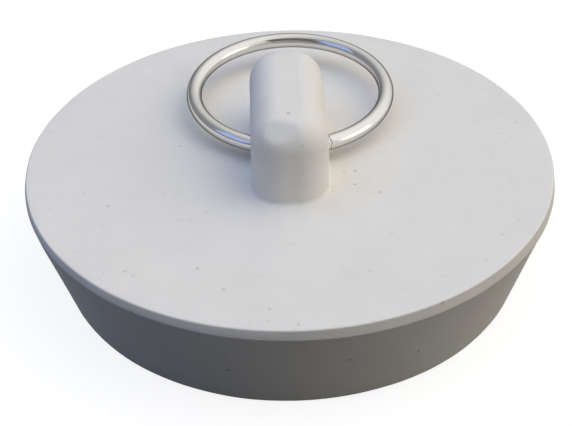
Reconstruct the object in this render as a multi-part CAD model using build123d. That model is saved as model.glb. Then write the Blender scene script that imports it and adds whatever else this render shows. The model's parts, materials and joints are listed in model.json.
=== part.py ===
from build123d import *
import math
import os

# A rubber drain stopper: one rubber moulding, with a flat top, a tapered plug and a lug, and one
# wire ring that is threaded through the lug's eye and swings there.
# All sizes are in millimetres. The stopper stands on its foot at Z = 0, with its axis on Z. The
# lug runs along Y, the eye through it runs along X, and the ring lies back towards +Y.

# --- Plug: flat top, narrow rim band, taper that wedges into the drain ---
RIM_DIAMETER = 50.8         # widest edge, where the band meets the taper
FLAT_DIAMETER = 50.5        # flat top, where the band begins
FOOT_DIAMETER = 44.4        # foot of the taper
PLUG_HEIGHT = 11.0          # foot to flat top
BAND_HEIGHT = 0.9           # flat top down to the widest edge
TOP_EDGE_RADIUS = 0.15      # round between the flat top and the band
FOOT_EDGE_RADIUS = 0.5      # round at the outside of the foot

# --- Recess under the plug, which leaves a foot ring to stand on ---
FOOT_RING_WIDTH = 5.2       # width of the foot at Z = 0
WEB_THICKNESS = 5.0         # rubber left between the recess and the flat top
RECESS_DRAFT_DEG = 12.0     # lean of the recess wall
RECESS_FLOOR_RADIUS = 1.6   # round in the corner of the recess
RECESS_MOUTH_RADIUS = 0.6   # round at the inside of the foot

# --- Lug: an upright tab with rounded corners and a rounded crown ---
LUG_LENGTH = 16.4           # along Y
LUG_WIDTH = 7.2             # along X
LUG_HEIGHT = 7.95           # above the flat top
LUG_CORNER_RADIUS = 3.0     # round at its four upright corners
LUG_CROWN_RADIUS = 2.6      # round at the top of the lug
LUG_ROOT_RADIUS = 0.5       # round where the lug grows out of the flat top
LUG_SETBACK = 0.85          # the lug's centre lies this far behind the eye, towards +Y

# --- Ring: round wire bent to a circle, its ends butted together ---
WIRE_DIAMETER = 1.5
RING_INNER_DIAMETER = 17.7
RING_SIDE_SHIFT = 0.45      # how far the ring has slid towards +X in the eye
RING_REST_TILT_DEG = 2.0    # the soft eye holds the ring's far side up by this much
BUTT_GAP = 0.12             # slit between the wire's two ends
BUTT_OFFSET = 0.45          # from the lug's side to the slit, along X
WIRE_END_CHAMFER = 0.08     # broken edge on each cut end

# --- Eye: the cross hole in which the ring swings ---
EYE_HEIGHT = 1.8            # its axis above the flat top
EYE_CLEARANCE = 0.1         # between the hole and the widest sweep of the wire
EYE_MOUTH_RADIUS = 0.2      # round at each end of the hole

# --- Worked out from the sizes above ---
WIRE_RADIUS = WIRE_DIAMETER / 2
RING_RADIUS = (RING_INNER_DIAMETER + WIRE_DIAMETER) / 2     # to the middle of the wire
LUG_SIDE = LUG_WIDTH / 2
# The curved wire bows inside the straight eye, most at the side that the ring has slid away from.
# Half the bow lies on each side of the eye's axis.
BOW_REACH = LUG_SIDE + RING_SIDE_SHIFT
WIRE_BOW = RING_RADIUS - math.sqrt(RING_RADIUS**2 - BOW_REACH**2)
ENTRY_COSINE = math.sqrt(1 - (BOW_REACH / RING_RADIUS) ** 2)
EYE_RADIUS = WIRE_BOW / 2 + WIRE_RADIUS / ENTRY_COSINE + EYE_CLEARANCE
EYE_AXIS_Z = PLUG_HEIGHT + EYE_HEIGHT
RING_CENTRE_Y = RING_RADIUS - WIRE_BOW / 2
RECESS_DEPTH = PLUG_HEIGHT - WEB_THICKNESS


def plug():
    """The tapered plug with its flat top and rim band, still solid underneath."""
    rim = RIM_DIAMETER / 2
    outline = Polyline(
        (0, 0),
        (FOOT_DIAMETER / 2, 0),
        (rim, PLUG_HEIGHT - BAND_HEIGHT),
        (FLAT_DIAMETER / 2, PLUG_HEIGHT),
        (0, PLUG_HEIGHT),
        close=True,
    )
    body = revolve(Plane.XZ * make_face(outline), Axis.Z)
    rings = body.edges().filter_by(GeomType.CIRCLE).sort_by(Axis.Z)
    body = fillet(rings[-1], TOP_EDGE_RADIUS)
    rings = body.edges().filter_by(GeomType.CIRCLE).sort_by(Axis.Z)
    return fillet(rings[0], FOOT_EDGE_RADIUS)


def recess():
    """The hollow under the plug, narrower at its floor than at its mouth."""
    mouth = FOOT_DIAMETER / 2 - FOOT_RING_WIDTH
    floor = mouth - RECESS_DEPTH * math.tan(math.radians(RECESS_DRAFT_DEG))
    outline = Polyline((0, 0), (mouth, 0), (floor, RECESS_DEPTH), (0, RECESS_DEPTH), close=True)
    hollow = revolve(Plane.XZ * make_face(outline), Axis.Z)
    rings = hollow.edges().filter_by(GeomType.CIRCLE).sort_by(Axis.Z)
    return fillet(rings[-1], RECESS_FLOOR_RADIUS)


def lug():
    """The tab, with rounded corners and a crown that is rounded all the way round."""
    plan = RectangleRounded(LUG_WIDTH, LUG_LENGTH, LUG_CORNER_RADIUS)
    tab = extrude(Pos(0, LUG_SETBACK, PLUG_HEIGHT) * plan, LUG_HEIGHT)
    return fillet(tab.faces().sort_by(Axis.Z)[-1].edges(), LUG_CROWN_RADIUS)


def eye():
    """The shape of the hole through the lug: a straight bore that opens out at both ends."""
    inner, outer = EYE_RADIUS, EYE_RADIUS + EYE_MOUTH_RADIUS
    past_root = LUG_SIDE + LUG_ROOT_RADIUS + EYE_MOUTH_RADIUS
    start = LUG_SIDE - EYE_MOUTH_RADIUS
    bore = Line((0, inner), (start, inner))
    flare = RadiusArc((start, inner), (LUG_SIDE, outer), EYE_MOUTH_RADIUS)
    rest = Polyline((LUG_SIDE, outer), (past_root, outer), (past_root, 0), (0, 0), (0, inner))
    half = revolve(Plane.XZ * make_face([bore, flare, rest]), Axis.X)
    return Pos(0, 0, EYE_AXIS_Z) * (half + mirror(half, Plane.YZ))


def stopper_moulding():
    """Plug, lug and eye in one piece, as the rubber is moulded."""
    body = plug() - recess()
    mouth = FOOT_DIAMETER / 2 - FOOT_RING_WIDTH
    inner_foot = [
        e
        for e in body.edges().filter_by(GeomType.CIRCLE)
        if abs(e.center().Z) < 1e-6 and abs(e.radius - mouth) < 1e-6
    ]
    body = fillet(inner_foot, RECESS_MOUTH_RADIUS)
    body = body + lug()
    lug_reach = LUG_LENGTH / 2 + abs(LUG_SETBACK)
    root = [
        e
        for e in body.edges()
        if abs(e.center().Z - PLUG_HEIGHT) < 1e-6
        and e.bounding_box().size.Z < 1e-6
        and e.bounding_box().max.Y < lug_reach + 0.01
    ]
    body = fillet(root, LUG_ROOT_RADIUS)
    return body - eye()


def pull_ring():
    """The wire ring, lying behind the lug, with its butt joint just outside the lug."""
    slit = math.degrees(BUTT_GAP / RING_RADIUS)
    butt_x = LUG_SIDE + BUTT_OFFSET - RING_SIDE_SHIFT
    # Measured about the ring's centre from +X, the slit is on the lug's +X side, near the eye.
    butt_angle = -math.degrees(math.acos(butt_x / RING_RADIUS))
    section = Plane.XZ * Pos(RING_RADIUS, 0) * Circle(WIRE_RADIUS)
    wire = revolve(section, Axis.Z, revolution_arc=360 - slit)
    ends = wire.edges().filter_by(GeomType.CIRCLE).filter_by(
        lambda e: abs(e.radius - WIRE_RADIUS) < 1e-6
    )
    wire = chamfer(ends, WIRE_END_CHAMFER)
    lying = Pos(RING_SIDE_SHIFT, RING_CENTRE_Y, 0) * Rot(0, 0, butt_angle + slit / 2) * wire
    return Pos(0, 0, EYE_AXIS_Z) * Rot(RING_REST_TILT_DEG, 0, 0) * lying


def main():
    os.makedirs("parts", exist_ok=True)
    export_step(stopper_moulding(), "parts/stopper_moulding.step")
    export_step(pull_ring(), "parts/pull_ring.step")
    print("eye radius", round(EYE_RADIUS, 3), "wire bow", round(WIRE_BOW, 3))
    print("ring centre", round(RING_CENTRE_Y, 3), "eye axis at", EYE_AXIS_Z)


main()
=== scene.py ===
"""Dresses the drain stopper: one white rubber moulding and the nickel-plated ring in its lug.

Everything is in metres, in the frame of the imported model: the foot stands at Z = 0, the lug runs
along Y, the eye through it along X, and the ring lies back towards +Y.
"""

import json
import math

import bmesh
import bpy
from bpy.props import FloatProperty, FloatVectorProperty, IntProperty, PointerProperty
from mathutils import Matrix, Vector, noise


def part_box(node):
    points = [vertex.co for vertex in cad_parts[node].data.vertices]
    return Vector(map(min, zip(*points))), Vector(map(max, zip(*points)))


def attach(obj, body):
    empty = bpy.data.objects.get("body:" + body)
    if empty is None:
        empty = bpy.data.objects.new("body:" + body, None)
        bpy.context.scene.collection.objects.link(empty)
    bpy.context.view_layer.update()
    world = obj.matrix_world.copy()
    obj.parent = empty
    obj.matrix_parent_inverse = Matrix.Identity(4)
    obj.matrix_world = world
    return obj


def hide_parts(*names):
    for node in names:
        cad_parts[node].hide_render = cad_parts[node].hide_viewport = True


bl_info = {
    "name": "Rubber Drain Stopper",
    "version": (1, 0, 0),
    "blender": (4, 5, 0),
    "location": "View3D > Sidebar > Stopper",
    "description": "Builds a tapered rubber drain plug with a swinging wire ring",
    "category": "Object",
}

MM = 0.001
TINY = 0.001 * MM

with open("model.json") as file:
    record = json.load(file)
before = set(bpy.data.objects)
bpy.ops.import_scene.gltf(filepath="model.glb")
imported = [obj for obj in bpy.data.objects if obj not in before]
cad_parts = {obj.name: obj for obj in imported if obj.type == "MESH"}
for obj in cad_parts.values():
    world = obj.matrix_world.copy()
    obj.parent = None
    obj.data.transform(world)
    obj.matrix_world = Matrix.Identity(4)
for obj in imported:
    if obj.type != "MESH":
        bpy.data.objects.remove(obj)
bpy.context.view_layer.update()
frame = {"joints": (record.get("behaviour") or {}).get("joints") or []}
PLUG_HIGH = Vector(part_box("stopper_moulding")[1])
RING_LOW, RING_HIGH = (Vector(corner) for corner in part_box("pull_ring"))
EYE_CENTRE = Vector(next(j for j in frame["joints"] if j["name"] == "ring_swing")["pos_m"])


# --- What a user would change ---


def to_linear(hex_code):
    """Turns an sRGB hex value such as "#E3E2DE" into three linear values."""
    channels = [int(hex_code[i : i + 2], 16) / 255 for i in (1, 3, 5)]
    return tuple(c / 12.92 if c <= 0.04045 else ((c + 0.055) / 1.055) ** 2.4 for c in channels)


def length(name, description, default):
    """A length in metres, shown in the scene's own unit."""
    return FloatProperty(
        name=name, description=description, default=default, unit="LENGTH", precision=5
    )


def angle(name, description, degrees):
    """An angle, given here in degrees."""
    return FloatProperty(
        name=name, description=description, default=math.radians(degrees), subtype="ANGLE"
    )


def power(name, description, watts):
    """What a lamp gives out."""
    return FloatProperty(name=name, description=description, default=watts, min=0, subtype="POWER")


def factor(name, description, default):
    """A plain number, 0 or more."""
    return FloatProperty(name=name, description=description, default=default, min=0)


def colour(name, description, hex_code):
    """A colour, given as an sRGB hex value and held as linear light."""
    return FloatVectorProperty(
        name=name,
        description=description,
        default=to_linear(hex_code),
        subtype="COLOR",
        min=0,
        max=1,
    )


class MouldingSettings(bpy.types.PropertyGroup):
    """Sizes and colours of the rubber moulding."""

    plug_height: length("Plug height", "Foot to flat top", 11.0 * MM)
    flat_radius: length("Flat radius", "Radius of the flat top", 25.25 * MM)
    band_height: length("Band height", "Flat top down to the widest edge", 1.0 * MM)
    band_dip: length("Band dip", "How far the widest edge sinks at +X and rises at -X", 0.2 * MM)
    foot_radius: length("Foot radius", "Outer radius of the foot", 22.2 * MM)
    foot_width: length("Foot width", "Width of the ring that it stands on", 5.2 * MM)
    recess_depth: length("Recess depth", "Foot up to the recess's ceiling", 6.0 * MM)
    recess_draft: angle("Recess draft", "Lean of the recess wall", 12)
    lug_length: length("Lug length", "Along the way the ring lies", 16.4 * MM)
    lug_width: length("Lug width", "Along the eye", 7.2 * MM)
    lug_setback: length("Lug setback", "From the eye back to the lug's centre", 0.85 * MM)
    corner_radius: length("Corner radius", "Round at the lug's upright corners", 3.0 * MM)
    crown_radius: length("Crown radius", "Round at the top of the lug", 2.6 * MM)
    root_radius: length("Root radius", "Round where the lug meets the flat top", 0.35 * MM)
    eye_radius: length("Eye radius", "Half the bore of the cross hole", 1.375 * MM)
    eye_mouth: length("Eye mouth", "Round at each end of the cross hole", 0.2 * MM)
    gate_depth: length("Gate depth", "Trimmed off the crown's front with the gate", 0.27 * MM)
    unevenness: length("Unevenness", "How far the moulded skin wanders", 0.035 * MM)
    rubber: colour("Rubber", "The white rubber itself", "#E1E0DD")
    # painted shade: this colour fills the pits as the shade inside them; on the faint specks it is
    # real dust
    grime_and_pit_shade: colour("Grime and pit shade", "Specks and pits in the skin", "#A09D98")


class RingSettings(bpy.types.PropertyGroup):
    """Sizes and colours of the wire ring."""

    butt_gap: length("Butt gap", "Slit between the wire's two ends", 0.01 * MM)
    butt_offset: length("Butt offset", "From the lug's side to the slit", 0.2 * MM)
    steps_round: IntProperty(name="Steps round", description="Sides of the wire", default=32, min=8)
    steps_along: IntProperty(
        name="Steps along", description="Sections of the wire", default=288, min=24
    )
    nickel: colour("Nickel", "The plating's own colour", "#E7E4DE")
    aslant: colour("Nickel aslant", "Tint of the dirty film on the plating, seen aslant", "#524E49")


class StageSettings(bpy.types.PropertyGroup):
    """The camera, the sky and the lamp."""

    camera_distance: length("Camera distance", "From the middle of the flat top", 152.4 * MM)
    camera_elevation: angle("Elevation", "Of the camera above the flat top", 34.3)
    camera_azimuth: angle("Azimuth", "Of the camera about the plug's axis", -1.4)
    camera_pan: angle("Pan", "Turn to the left, off the middle of the flat top", 0.16)
    camera_tilt: angle("Tilt", "Turn upwards, off the middle of the flat top", -1.91)
    camera_roll: angle("Roll", "Lean of the camera to one side", -1.25)
    camera_lens: FloatProperty(
        name="Lens", description="Focal length in millimetres", default=99.5, unit="CAMERA"
    )
    sky_right: factor("Right sky", "Brightness of the warm sky high on the right", 2.44)
    sky_left: factor("Left sky", "Brightness of the blue sky high on the left", 1.77)
    wall_power: power("Wall", "What the sunlit wall low on the right gives out", 0.25)


# --- Helpers ---


MIX_FACTOR, MIX_A, MIX_B, MIX_RESULT = 0, 6, 7, 2  # a Mix node's sockets where it mixes colours


def add_node(tree, kind, settings=None, inputs=None):
    """Adds a node with its settings, and sets or links its inputs, given by name or number."""
    node = tree.nodes.new(kind)
    for name, value in (settings or {}).items():
        setattr(node, name, value)
    for key, value in (inputs or {}).items():
        if isinstance(value, bpy.types.NodeSocket):
            tree.links.new(value, node.inputs[key])
        else:
            node.inputs[key].default_value = value
    return node


def opaque(rgb, shade=1.0):
    """A linear colour, darkened if asked, with a full alpha."""
    return (*(c * shade for c in rgb), 1.0)


def new_material(name):
    """An empty node material, and its tree."""
    material = bpy.data.materials.new(name)
    material.use_nodes = True
    material.node_tree.nodes.clear()
    return material, material.node_tree


def piece_from(bm, name, material):
    """Makes an object of a bmesh, smooth all over, with its place in its mesh."""
    mesh = bpy.data.meshes.new(name)
    bm.to_mesh(mesh)
    bm.free()
    mesh.polygons.foreach_set("use_smooth", [True] * len(mesh.polygons))
    mesh.materials.append(material)
    piece = bpy.data.objects.new(name, mesh)
    bpy.context.scene.collection.objects.link(piece)
    return piece


def shade_evenly(piece):
    """Keeps the large faces flat to the eye where they run into small rounds."""
    even = piece.modifiers.new("Even shading", "WEIGHTED_NORMAL")
    even.keep_sharp = True


def round_off(bm, edges, radius, segments):
    """Bevels edges to a round."""
    bmesh.ops.bevel(
        bm, geom=edges, offset=radius, segments=segments, profile=0.5, affect="EDGES", material=-1
    )


# --- The rubber moulding ---


SPIN_STEPS = 256
LUG_ARC_STEPS = 200
SHORT_SIDE_CUTS = 4
# The lug's outline has as many edges as the spin.
LONG_SIDE_CUTS = (SPIN_STEPS - LUG_ARC_STEPS) // 2 - SHORT_SIDE_CUTS
COLLAR_RADIUS = 12.5 * MM  # where the rings of the flat top give way to the lug's outline
COLLAR_CUTS = 5  # between the collar and the lug
TOP_STEPS, TAPER_STEPS, RECESS_WALL_STEPS, CEILING_STEPS = 14, 8, 3, 8

TOP_ROUND = 0.15 * MM
BAND_ROUND = 0.1 * MM
FOOT_ROUND = 0.5 * MM
RECESS_MOUTH_ROUND = 0.6 * MM
RECESS_CEILING_ROUND = 1.6 * MM
EDGE_SEGMENTS, CROWN_SEGMENTS, ROOT_SEGMENTS = 4, 12, 5

EYE_STEPS = 64
EYE_MOUTH_ANGLES = (22.5, 45, 67.5, 90)  # degrees

GATE_WAY = (-0.2, -0.72, 1)  # the way that the trimmed spot faces
SLOW_WAVE, QUICK_WAVE = 9 * MM, 3.2 * MM  # lengths of the skin's waves
QUICK_SHARE = 0.5
CROWN_GAIN = 3  # times the skin's unevenness, added on the crown
CROWN_FADE = 1.5 * MM  # the height above the eye over which that sets in


def circle_edges(bm, radius, height):
    """The edges that lie on one circle round the plug's axis."""

    def on_circle(vert):
        return abs(vert.co.z - height) < TINY and abs(vert.co.xy.length - radius) < TINY

    return [edge for edge in bm.edges if all(on_circle(vert) for vert in edge.verts)]


def plan_edges(bm, s):
    """The edges on the outline where the lug stands on the flat top."""
    flat_x = s.lug_width / 2 - s.corner_radius
    flat_y = s.lug_length / 2 - s.corner_radius

    def on_plan(vert):
        past_x = max(abs(vert.co.x) - flat_x, 0)
        past_y = max(abs(vert.co.y - s.lug_setback) - flat_y, 0)
        off = math.hypot(past_x, past_y) - s.corner_radius
        return abs(vert.co.z - s.plug_height) < TINY and abs(off) < 3 * TINY

    return [edge for edge in bm.edges if all(on_plan(vert) for vert in edge.verts)]


def steps_between(start, end, count):
    """Points on a straight line, both ends included."""
    return [Vector(start).lerp(Vector(end), k / count) for k in range(count + 1)]


def spin_plug(bm, s):
    """Turns the plug's outline about its axis: flat top, band, taper, foot and recess."""
    rim = PLUG_HIGH.x
    band_foot = s.plug_height - s.band_height
    mouth = s.foot_radius - s.foot_width
    ceiling = mouth - s.recess_depth * math.tan(s.recess_draft)
    outline = steps_between(
        (COLLAR_RADIUS, s.plug_height), (s.flat_radius, s.plug_height), TOP_STEPS
    )
    outline += steps_between((rim, band_foot), (s.foot_radius, 0), TAPER_STEPS)
    outline += steps_between((mouth, 0), (ceiling, s.recess_depth), RECESS_WALL_STEPS)
    outline += steps_between((ceiling, s.recess_depth), (0, s.recess_depth), CEILING_STEPS)[1:]
    verts = [bm.verts.new((point.x, 0, point.y)) for point in outline]
    edges = [bm.edges.new(pair) for pair in zip(verts, verts[1:])]
    bmesh.ops.spin(
        bm,
        geom=verts + edges,
        cent=(0, 0, 0),
        axis=(0, 0, 1),
        angle=math.tau,
        steps=SPIN_STEPS,
        use_merge=True,
    )
    bmesh.ops.remove_doubles(bm, verts=bm.verts, dist=TINY)
    for radius, height, round_radius in (
        (s.foot_radius, 0, FOOT_ROUND),
        (mouth, 0, RECESS_MOUTH_ROUND),
        (ceiling, s.recess_depth, RECESS_CEILING_ROUND),
        (rim, band_foot, BAND_ROUND),
        (s.flat_radius, s.plug_height, TOP_ROUND),
    ):
        round_off(bm, circle_edges(bm, radius, height), round_radius, EDGE_SEGMENTS)


def raise_lug(bm, s):
    """Grows the lug out of the flat top: its plan, its wall, its crown and its root."""
    flat_x = s.lug_width / 2 - s.corner_radius
    flat_y = s.lug_length / 2 - s.corner_radius
    turn = Matrix.Rotation(math.pi / LUG_ARC_STEPS, 4, "Z")
    plan = bmesh.ops.create_circle(
        bm,
        cap_ends=False,
        radius=s.corner_radius,
        segments=LUG_ARC_STEPS,
        matrix=Matrix.Translation((0, 0, s.plug_height)) @ turn,
    )["verts"]
    for vert in plan:
        vert.co.x += math.copysign(flat_x, vert.co.x)
        vert.co.y += math.copysign(flat_y, vert.co.y) + s.lug_setback
    for side, cuts in ((flat_y, LONG_SIDE_CUTS), (flat_x, SHORT_SIDE_CUTS)):
        edges = [edge for edge in plan_edges(bm, s) if edge.calc_length() > 2 * side]
        bmesh.ops.subdivide_edges(bm, edges=edges, cuts=cuts)
    hole = circle_edges(bm, COLLAR_RADIUS, s.plug_height)
    bridge = bmesh.ops.bridge_loops(bm, edges=plan_edges(bm, s) + hole)
    bmesh.ops.subdivide_edges(bm, edges=bridge["edges"], cuts=COLLAR_CUTS, use_grid_fill=True)
    grown = bmesh.ops.extrude_edge_only(bm, edges=plan_edges(bm, s))["geom"]
    top = [part for part in grown if isinstance(part, bmesh.types.BMVert)]
    top_loop = [part for part in grown if isinstance(part, bmesh.types.BMEdge)]
    bmesh.ops.translate(bm, verts=top, vec=(0, 0, PLUG_HIGH.z - s.plug_height))
    bmesh.ops.contextual_create(bm, geom=top_loop)
    round_off(bm, top_loop, s.crown_radius, CROWN_SEGMENTS)
    round_off(bm, plan_edges(bm, s), s.root_radius, ROOT_SEGMENTS)
    bmesh.ops.remove_doubles(bm, verts=bm.verts, dist=TINY)
    bmesh.ops.recalc_face_normals(bm, faces=bm.faces)


def eye_cutter(s):
    """A bar along X with the eye's bore, and with its two mouths opened out."""
    side = s.lug_width / 2
    wide = s.eye_radius + s.eye_mouth
    reach = side + s.root_radius + s.eye_mouth
    half = [(side - s.eye_mouth, s.eye_radius)]
    for degrees in EYE_MOUTH_ANGLES:
        turn = math.radians(degrees)
        x = side - s.eye_mouth * (1 - math.sin(turn))
        half.append((x, wide - s.eye_mouth * math.cos(turn)))
    half += [(reach, wide), (reach, 0)]
    outline = [(-x, r) for x, r in reversed(half)] + half
    bm = bmesh.new()
    verts = [bm.verts.new((x, 0, r)) for x, r in outline]
    edges = [bm.edges.new(pair) for pair in zip(verts, verts[1:])]
    bmesh.ops.spin(
        bm,
        geom=verts + edges,
        cent=(0, 0, 0),
        axis=(1, 0, 0),
        angle=math.tau,
        steps=EYE_STEPS,
        use_merge=True,
    )
    bmesh.ops.remove_doubles(bm, verts=bm.verts, dist=TINY)
    bmesh.ops.translate(bm, verts=bm.verts, vec=EYE_CENTRE)
    bmesh.ops.recalc_face_normals(bm, faces=bm.faces)
    return bm


def cut_away(bm, cutter):
    """Takes one closed bmesh out of another, and gives back what is left."""
    objects = []
    for name, part in (("whole", bm), ("cutter", cutter)):
        mesh = bpy.data.meshes.new(name)
        part.to_mesh(mesh)
        part.free()
        objects.append(bpy.data.objects.new(name, mesh))
        bpy.context.scene.collection.objects.link(objects[-1])
    cut = objects[0].modifiers.new("Cut", "BOOLEAN")
    cut.operation = "DIFFERENCE"
    cut.solver = "EXACT"
    cut.object = objects[1]
    depsgraph = bpy.context.evaluated_depsgraph_get()
    left = bpy.data.meshes.new_from_object(objects[0].evaluated_get(depsgraph))
    result = bmesh.new()
    result.from_mesh(left)
    for mesh in [obj.data for obj in objects] + [left]:
        bpy.data.meshes.remove(mesh)
    return result


def dip_band(bm, s):
    """Tilts the widest edge a little, as the mould's parting line is, so that the band varies."""
    band_foot = s.plug_height - s.band_height
    for vert in bm.verts:
        near_edge = 1 - abs(vert.co.z - band_foot) / (s.band_height / 2)
        if near_edge > 0 and vert.co.xy.length > s.foot_radius:
            vert.co.z -= s.band_dip * min(2 * near_edge, 1) * vert.co.x / s.flat_radius


def trim_gate(bm, s):
    """Flattens the front of the crown, a little to the left, where the mould's gate was cut off."""
    way = Vector(GATE_WAY).normalized()
    crown = [vert for vert in bm.verts if vert.co.z > EYE_CENTRE.z]
    level = max(vert.co.dot(way) for vert in crown) - s.gate_depth
    for vert in crown:
        vert.co -= way * max(vert.co.dot(way) - level, 0)


def roughen_skin(bm, s):
    """Lets the moulded skin wander a little, most on the lug, but not on the foot it stands on."""
    bm.normal_update()
    moves = []
    for vert in bm.verts:
        wave = noise.noise(vert.co / SLOW_WAVE) + QUICK_SHARE * noise.noise(vert.co / QUICK_WAVE)
        up_the_lug = min(max((vert.co.z - EYE_CENTRE.z - s.eye_radius) / CROWN_FADE, 0), 1)
        gain = s.unevenness * (1 + CROWN_GAIN * up_the_lug)
        moves.append(vert.normal * wave * gain if vert.co.z > TINY else Vector())
    for vert, move in zip(bm.verts, moves):
        vert.co += move


def speck_mask(tree, place, spacing, edge, rarity):
    """Soft round dots in some of the cells of a loose grid; edge is a share of its spacing."""
    cells = add_node(tree, "ShaderNodeTexVoronoi", inputs={"Vector": place, "Scale": 1 / spacing})
    dot = add_node(
        tree,
        "ShaderNodeMapRange",
        inputs={
            "Value": cells.outputs["Distance"],
            "From Min": 0,
            "From Max": edge,
            "To Min": 1,
            "To Max": 0,
        },
    )
    draw = add_node(tree, "ShaderNodeSeparateColor", inputs={"Color": cells.outputs["Color"]})
    strength = add_node(
        tree,
        "ShaderNodeMapRange",
        inputs={
            "Value": draw.outputs["Red"],
            "From Min": rarity,
            "From Max": 1,
            "To Min": 0,
            "To Max": 1,
        },
    )
    return add_node(
        tree,
        "ShaderNodeMath",
        {"operation": "MULTIPLY"},
        {0: dot.outputs[0], 1: strength.outputs[0]},
    ).outputs[0]


CLOUD_SIZE = 5 * MM
CLOUD_DARK, CLOUD_LIGHT = 0.93, 1.04  # shades of the rubber's own colour
PIT_SPACING = 2.1 * MM
PIT_DEPTH = 2  # in depths of the grain
DUST_SPACING = 1.3 * MM
DUST_STRENGTH = 0.35
GRAIN_SIZE = 0.4 * MM  # a blasted mould's own grain is about 0.1 mm: it is drawn coarser, to show
GRAIN_DEPTH = 0.03 * MM


def white_rubber(s):
    """White rubber, pressed in a steel mould and never polished: matt, faintly clouded, with stray
    specks of dust, and pits where trapped air left the skin open, darkened as painted shade."""
    material, tree = new_material("moulded_white_rubber")
    place = add_node(tree, "ShaderNodeTexCoord").outputs["Object"]
    cloud = add_node(
        tree,
        "ShaderNodeTexNoise",
        inputs={"Vector": place, "Scale": 1 / CLOUD_SIZE, "Detail": 5, "Roughness": 0.65},
    )
    clouded = add_node(
        tree,
        "ShaderNodeMix",
        {"data_type": "RGBA"},
        {
            MIX_FACTOR: cloud.outputs["Fac"],
            MIX_A: opaque(s.rubber, CLOUD_DARK),
            MIX_B: opaque(s.rubber, CLOUD_LIGHT),
        },
    )
    # Painted shade: the pits take the full grime colour as the shade inside them; the dust specks
    # are real, drawn faint
    pits = speck_mask(tree, place, PIT_SPACING, edge=0.12, rarity=0.6)
    dust = speck_mask(tree, place, DUST_SPACING, edge=0.2, rarity=0.4)
    faint = add_node(
        tree, "ShaderNodeMath", {"operation": "MULTIPLY"}, {0: dust, 1: DUST_STRENGTH}
    )
    dust_and_pit_shade = add_node(
        tree, "ShaderNodeMath", {"operation": "MAXIMUM"}, {0: pits, 1: faint.outputs[0]}
    )
    skin = add_node(
        tree,
        "ShaderNodeMix",
        {"data_type": "RGBA"},
        {
            MIX_FACTOR: dust_and_pit_shade.outputs[0],
            MIX_A: clouded.outputs[MIX_RESULT],
            MIX_B: opaque(s.grime_and_pit_shade),
        },
    )
    grain = add_node(
        tree,
        "ShaderNodeTexNoise",
        inputs={"Vector": place, "Scale": 1 / GRAIN_SIZE, "Detail": 3, "Roughness": 0.6},
    )
    relief = add_node(
        tree,
        "ShaderNodeMath",
        {"operation": "MULTIPLY_ADD"},
        {0: pits, 1: -PIT_DEPTH, 2: grain.outputs["Fac"]},
    )
    bump = add_node(
        tree,
        "ShaderNodeBump",
        inputs={"Strength": 0.4, "Distance": GRAIN_DEPTH, "Height": relief.outputs[0]},
    )
    shader = add_node(
        tree,
        "ShaderNodeBsdfPrincipled",
        inputs={
            "Base Color": skin.outputs[MIX_RESULT],
            "Roughness": 0.7,
            "IOR": 1.5,
            "Specular IOR Level": 0.1,
            "Normal": bump.outputs["Normal"],
        },
    )
    add_node(tree, "ShaderNodeOutputMaterial", inputs={"Surface": shader.outputs["BSDF"]})
    return material


class STOPPER_OT_moulding(bpy.types.Operator):
    """Makes the rubber moulding: plug, lug and eye in one piece"""

    bl_idname = "stopper.make_moulding"
    bl_label = "Rubber moulding"

    def execute(self, context):
        s = context.scene.stopper_moulding
        bm = bmesh.new()
        spin_plug(bm, s)
        raise_lug(bm, s)
        bm = cut_away(bm, eye_cutter(s))
        dip_band(bm, s)
        trim_gate(bm, s)
        roughen_skin(bm, s)
        piece = piece_from(bm, "rubber_moulding", white_rubber(s))
        shade_evenly(piece)
        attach(piece, "plug")
        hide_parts("stopper_moulding")
        return {"FINISHED"}


# --- The ring ---


SCUFF_SIZE = 1.2 * MM
RIPPLE_SIZE = 2.6 * MM
RIPPLE_DEPTH = 0.02 * MM
WIRE_END_ROUND = 0.05 * MM
WIRE_END_SEGMENTS = 3


def nickel_wire(s):
    """Nickel-plated steel wire, bright from the drawing die: a warm grey mirror, blurred in soft
    patches by handling, with a slow ripple where it was bent."""
    material, tree = new_material("nickel_plated_wire")
    place = add_node(tree, "ShaderNodeTexCoord").outputs["Object"]
    scuff = add_node(
        tree,
        "ShaderNodeTexNoise",
        inputs={"Vector": place, "Scale": 1 / SCUFF_SIZE, "Detail": 5, "Roughness": 0.65},
    )
    blur = add_node(
        tree,
        "ShaderNodeMapRange",
        inputs={
            "Value": scuff.outputs["Fac"],
            "From Min": 0.35,
            "From Max": 0.7,
            "To Min": 0.08,
            "To Max": 0.17,
        },
    )
    ripple = add_node(
        tree, "ShaderNodeTexNoise", inputs={"Vector": place, "Scale": 1 / RIPPLE_SIZE, "Detail": 2}
    )
    bump = add_node(
        tree,
        "ShaderNodeBump",
        inputs={"Strength": 0.5, "Distance": RIPPLE_DEPTH, "Height": ripple.outputs["Fac"]},
    )
    shader = add_node(
        tree,
        "ShaderNodeBsdfPrincipled",
        inputs={
            "Base Color": opaque(s.nickel),
            "Specular Tint": opaque(s.aslant),
            "Metallic": 1.0,
            "Roughness": blur.outputs[0],
            "Normal": bump.outputs["Normal"],
        },
    )
    add_node(tree, "ShaderNodeOutputMaterial", inputs={"Surface": shader.outputs["BSDF"]})
    return material


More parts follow.
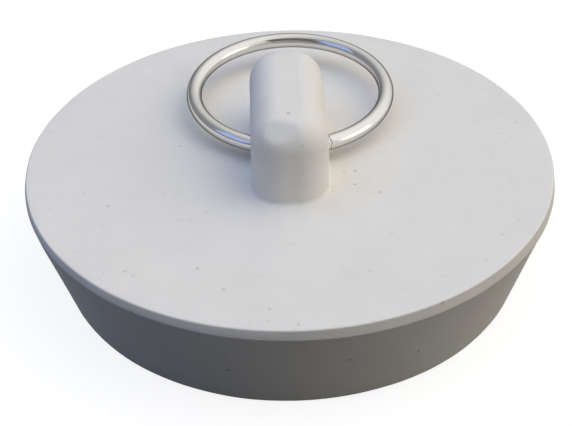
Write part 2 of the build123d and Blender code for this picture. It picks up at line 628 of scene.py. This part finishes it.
class STOPPER_OT_ring(bpy.types.Operator):
    """Bends the wire ring through the lug's eye, with its two ends butted together"""

    bl_idname = "stopper.make_ring"
    bl_label = "Pull ring"

    def execute(self, context):
        s = context.scene.stopper_ring
        centre = (RING_LOW + RING_HIGH) / 2
        size = RING_HIGH - RING_LOW
        tilt = math.atan2(centre.z - EYE_CENTRE.z, centre.y - EYE_CENTRE.y)
        wire = (size.z - size.x * math.sin(tilt)) / 2 / (1 - math.sin(tilt))
        radius = size.x / 2 - wire
        slit = s.butt_gap / radius
        butt_x = context.scene.stopper_moulding.lug_width / 2 + s.butt_offset - centre.x
        butt = -math.acos(butt_x / radius)
        bm = bmesh.new()
        section = bmesh.ops.create_circle(
            bm,
            cap_ends=False,
            radius=wire,
            segments=s.steps_round,
            matrix=Matrix.Translation((radius, 0, 0)) @ Matrix.Rotation(math.pi / 2, 4, "X"),
        )["verts"]
        bmesh.ops.spin(
            bm,
            geom=section + list(bm.edges),
            cent=(0, 0, 0),
            axis=(0, 0, 1),
            angle=math.tau - slit,
            steps=s.steps_along,
        )
        ends = [edge for edge in bm.edges if edge.is_boundary]
        bmesh.ops.holes_fill(bm, edges=ends, sides=0)
        bmesh.ops.recalc_face_normals(bm, faces=bm.faces)
        round_off(bm, ends, WIRE_END_ROUND, WIRE_END_SEGMENTS)
        place_butt = Matrix.Rotation(butt + slit / 2, 4, "Z")
        lie_back = Matrix.Translation(centre) @ Matrix.Rotation(tilt, 4, "X")
        bmesh.ops.transform(bm, matrix=lie_back @ place_butt, verts=bm.verts)
        piece = piece_from(bm, "wire_ring", nickel_wire(s))
        shade_evenly(piece)
        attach(piece, "ring")
        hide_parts("pull_ring")
        return {"FINISHED"}


# --- The stage ---


FLOOR_HALF_SIZE = 6.0
FLOOR_DROP = 0.02 * MM  # keeps the floor just clear of the foot
FLOOR_GLOW = 0.86
SCRIM_RADIUS = 1.0
SCRIM_OPENING = (0.77, 0.28, 0.57)  # the way from the stopper to where the scrim is thinnest
SCRIM_CLEAR_FROM = 0.8  # how far along that way nothing of it is left
CARD_DISTANCE = 0.5
CLIP_START = 0.01


def seen_or_bounced(tree, seen, bounced):
    """Shows one shader to the camera, metal and glass, and another to light that bounces."""
    path = add_node(tree, "ShaderNodeLightPath").outputs
    shiny = add_node(
        tree,
        "ShaderNodeMath",
        {"operation": "MAXIMUM"},
        {0: path["Is Glossy Ray"], 1: path["Is Transmission Ray"]},
    )
    sees = add_node(
        tree,
        "ShaderNodeMath",
        {"operation": "MAXIMUM"},
        {0: path["Is Camera Ray"], 1: shiny.outputs[0]},
    )
    return add_node(
        tree, "ShaderNodeMixShader", inputs={0: sees.outputs[0], 1: bounced, 2: seen}
    ).outputs[0]


def make_floor():
    """A floor that looks white and keeps the shadow, but throws little light back up."""
    material, tree = new_material("white_floor")
    paper = add_node(tree, "ShaderNodeBsdfDiffuse", inputs={"Color": opaque(to_linear("#808080"))})
    glow = add_node(
        tree, "ShaderNodeEmission", inputs={"Color": (1, 1, 1, 1), "Strength": FLOOR_GLOW}
    )
    white = add_node(tree, "ShaderNodeAddShader", inputs={0: paper.outputs[0], 1: glow.outputs[0]})
    dim = add_node(tree, "ShaderNodeBsdfDiffuse", inputs={"Color": opaque(to_linear("#484848"))})
    add_node(
        tree,
        "ShaderNodeOutputMaterial",
        inputs={"Surface": seen_or_bounced(tree, white.outputs[0], dim.outputs[0])},
    )
    bm = bmesh.new()
    bmesh.ops.create_grid(bm, x_segments=1, y_segments=1, size=FLOOR_HALF_SIZE)
    bmesh.ops.translate(bm, verts=bm.verts, vec=(0, 0, -FLOOR_DROP))
    piece_from(bm, "floor", material)


def make_sky(s):
    """A white world, with soft light from two sides: warm from the right, blue from the left."""
    world = bpy.data.worlds.new("sky")
    bpy.context.scene.world = world
    world.use_nodes = True
    tree = world.node_tree
    tree.nodes.clear()
    way = add_node(tree, "ShaderNodeTexCoord").outputs["Generated"]
    light = add_node(tree, "ShaderNodeBackground", inputs={"Strength": 0.0}).outputs[0]
    for middle, narrowness, hex_code, strength in (
        ((0.6, 0, 0.8), 4, "#FFF7E8", s.sky_right),
        ((-0.5, 0, 0.87), 6, "#C2D6FF", s.sky_left),
    ):
        along = add_node(
            tree, "ShaderNodeVectorMath", {"operation": "DOT_PRODUCT"}, {0: way, 1: middle}
        )
        facing = add_node(
            tree, "ShaderNodeMath", {"operation": "MAXIMUM"}, {0: along.outputs["Value"], 1: 0}
        )
        patch = add_node(
            tree, "ShaderNodeMath", {"operation": "POWER"}, {0: facing.outputs[0], 1: narrowness}
        )
        glow = add_node(
            tree, "ShaderNodeMath", {"operation": "MULTIPLY"}, {0: patch.outputs[0], 1: strength}
        )
        part = add_node(
            tree,
            "ShaderNodeBackground",
            inputs={"Color": opaque(to_linear(hex_code)), "Strength": glow.outputs[0]},
        )
        both = add_node(tree, "ShaderNodeAddShader", inputs={0: light, 1: part.outputs[0]})
        light = both.outputs[0]
    white = add_node(tree, "ShaderNodeBackground", inputs={"Color": (1, 1, 1, 1), "Strength": 1.0})
    add_node(
        tree,
        "ShaderNodeOutputWorld",
        inputs={"Surface": seen_or_bounced(tree, white.outputs[0], light)},
    )


def reflect_only(obj):
    """Leaves an object to be seen in metal alone: it casts no light and no shadow."""
    obj.visible_camera = False
    obj.visible_diffuse = False
    obj.visible_shadow = False
    obj.visible_transmission = False
    obj.visible_volume_scatter = False


def make_scrim():
    """A grey scrim for the wire to mirror: thick on the left, and thinning out to nothing towards
    the back right, where the wire shows the white background."""
    material, tree = new_material("grey_scrim")
    place = add_node(tree, "ShaderNodeTexCoord").outputs["Object"]
    along = add_node(
        tree, "ShaderNodeVectorMath", {"operation": "DOT_PRODUCT"}, {0: place, 1: SCRIM_OPENING}
    )
    thinness = add_node(
        tree,
        "ShaderNodeMapRange",
        inputs={
            "Value": along.outputs["Value"],
            "From Min": 0,
            "From Max": SCRIM_CLEAR_FROM,
            "To Min": 0,
            "To Max": 1,
        },
    )
    shade = add_node(
        tree,
        "ShaderNodeEmission",
        inputs={"Color": opaque(to_linear("#8A9098")), "Strength": 1.0},
    )
    clear = add_node(tree, "ShaderNodeBsdfTransparent")
    scrim = add_node(
        tree,
        "ShaderNodeMixShader",
        inputs={0: thinness.outputs[0], 1: shade.outputs[0], 2: clear.outputs[0]},
    )
    add_node(tree, "ShaderNodeOutputMaterial", inputs={"Surface": scrim.outputs[0]})
    bm = bmesh.new()
    bmesh.ops.create_icosphere(bm, subdivisions=4, radius=SCRIM_RADIUS)
    reflect_only(piece_from(bm, "grey_scrim", material))


def reflected_card(name, way, half_size, hex_code, strength):
    """A glowing square, facing the stopper, that only the wire mirrors."""
    material, tree = new_material(name)
    glow = add_node(
        tree,
        "ShaderNodeEmission",
        inputs={"Color": opaque(to_linear(hex_code)), "Strength": strength},
    )
    add_node(tree, "ShaderNodeOutputMaterial", inputs={"Surface": glow.outputs[0]})
    bm = bmesh.new()
    bmesh.ops.create_grid(bm, x_segments=1, y_segments=1, size=half_size)
    way = Vector(way).normalized()
    face = way.to_track_quat("-Z", "Y").to_matrix().to_4x4()
    place = Matrix.Translation(way * CARD_DISTANCE)
    bmesh.ops.transform(bm, matrix=place @ face, verts=bm.verts)
    reflect_only(piece_from(bm, name, material))


def area_lamp(name, place, target, size, watts, hex_code):
    """A soft square lamp that faces a point and isn't itself in the picture."""
    lamp = bpy.data.lights.new(name, "AREA")
    lamp.size = size
    lamp.energy = watts
    lamp.color = to_linear(hex_code)
    obj = bpy.data.objects.new(name, lamp)
    obj.location = place
    obj.rotation_euler = (target - Vector(place)).to_track_quat("-Z", "Y").to_euler()
    obj.visible_camera = False
    bpy.context.scene.collection.objects.link(obj)


def set_camera(s, target):
    """Stands the camera where the photograph was taken from."""
    data = bpy.data.cameras.new("camera")
    data.lens = s.camera_lens
    data.clip_start = CLIP_START
    obj = bpy.data.objects.new("camera", data)
    rise = s.camera_elevation
    away = Vector((0, -math.cos(rise), math.sin(rise))) * s.camera_distance
    away.rotate(Matrix.Rotation(s.camera_azimuth, 3, "Z"))
    facing = (-away).to_track_quat("-Z", "Y").to_matrix().to_4x4()
    for turn, axis in ((s.camera_pan, "Y"), (s.camera_tilt, "X"), (s.camera_roll, "Z")):
        facing = facing @ Matrix.Rotation(turn, 4, axis)
    obj.matrix_world = Matrix.Translation(target + away) @ facing
    bpy.context.scene.collection.objects.link(obj)
    bpy.context.scene.camera = obj


class STOPPER_OT_stage(bpy.types.Operator):
    """Sets the white floor, the sky, what the wire mirrors, and the camera"""

    bl_idname = "stopper.make_stage"
    bl_label = "Stage"

    def execute(self, context):
        s = context.scene.stopper_stage
        target = Vector((0, 0, context.scene.stopper_moulding.plug_height))
        make_floor()
        make_sky(s)
        make_scrim()
        reflected_card(
            "blue_sky",
            way=(-0.73, -0.27, 0.63),
            half_size=0.16,
            hex_code="#A9BFFA",
            strength=1.05,
        )
        reflected_card(
            "dark_card",
            way=(-0.11, -0.76, 0.64),
            half_size=0.25,
            hex_code="#6E6B69",
            strength=1.0,
        )
        area_lamp(
            "sunlit_wall",
            place=(0.55, -0.2, 0.16),
            target=target,
            size=0.4,
            watts=s.wall_power,
            hex_code="#FFF9E9",
        )
        set_camera(s, target)
        context.scene.view_settings.view_transform = "Standard"
        return {"FINISHED"}


class STOPPER_PT_panel(bpy.types.Panel):
    """Lists the stopper's pieces and their settings in the sidebar"""

    bl_label = "Drain stopper"
    bl_idname = "STOPPER_PT_panel"
    bl_space_type = "VIEW_3D"
    bl_region_type = "UI"
    bl_category = "Stopper"

    def draw(self, context):
        for operator, group in PIECES:
            box = self.layout.box()
            settings = getattr(context.scene, group)
            for name in settings.__annotations__:
                box.prop(settings, name)
            box.operator(operator)


PIECES = (
    ("stopper.make_moulding", "stopper_moulding"),
    ("stopper.make_ring", "stopper_ring"),
    ("stopper.make_stage", "stopper_stage"),
)
CLASSES = (
    MouldingSettings,
    RingSettings,
    StageSettings,
    STOPPER_OT_moulding,
    STOPPER_OT_ring,
    STOPPER_OT_stage,
    STOPPER_PT_panel,
)


def register():
    for cls in CLASSES:
        bpy.utils.register_class(cls)
    bpy.types.Scene.stopper_moulding = PointerProperty(type=MouldingSettings)
    bpy.types.Scene.stopper_ring = PointerProperty(type=RingSettings)
    bpy.types.Scene.stopper_stage = PointerProperty(type=StageSettings)


def unregister():
    for _, group in PIECES:
        delattr(bpy.types.Scene, group)
    for cls in reversed(CLASSES):
        bpy.utils.unregister_class(cls)


def main():
    register()
    bpy.ops.stopper.make_moulding()
    bpy.ops.stopper.make_ring()
    bpy.ops.stopper.make_stage()


if __name__ == "__main__":
    main()
